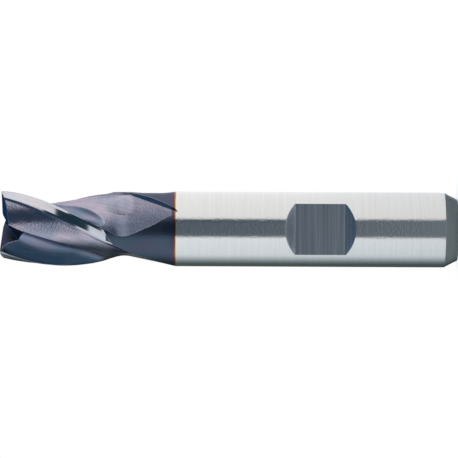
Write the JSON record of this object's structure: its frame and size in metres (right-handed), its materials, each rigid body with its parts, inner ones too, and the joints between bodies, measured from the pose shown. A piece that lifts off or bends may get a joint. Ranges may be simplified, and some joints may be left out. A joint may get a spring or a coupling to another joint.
{
  "type": "slot drill",
  "caption": "Short centre-cutting end mill with helical flutes on a coated cutting end, a relieved neck and a plain round shank with a side-lock flat.",
  "frame": {"origin": "centre of the shank's end face", "axes": "+Z along the tool's axis from the shank to the cutting end, -Y is the way the side-lock flat faces"},
  "size_m": [0.012, 0.012, 0.073],
  "materials": {
    "tool_steel": "ground; the cutting end and neck carry a thin grey-violet hard coating"
  },
  "bodies": {
    "root": {"slot_drill": "tool_steel"}
  },
  "joints": []
}
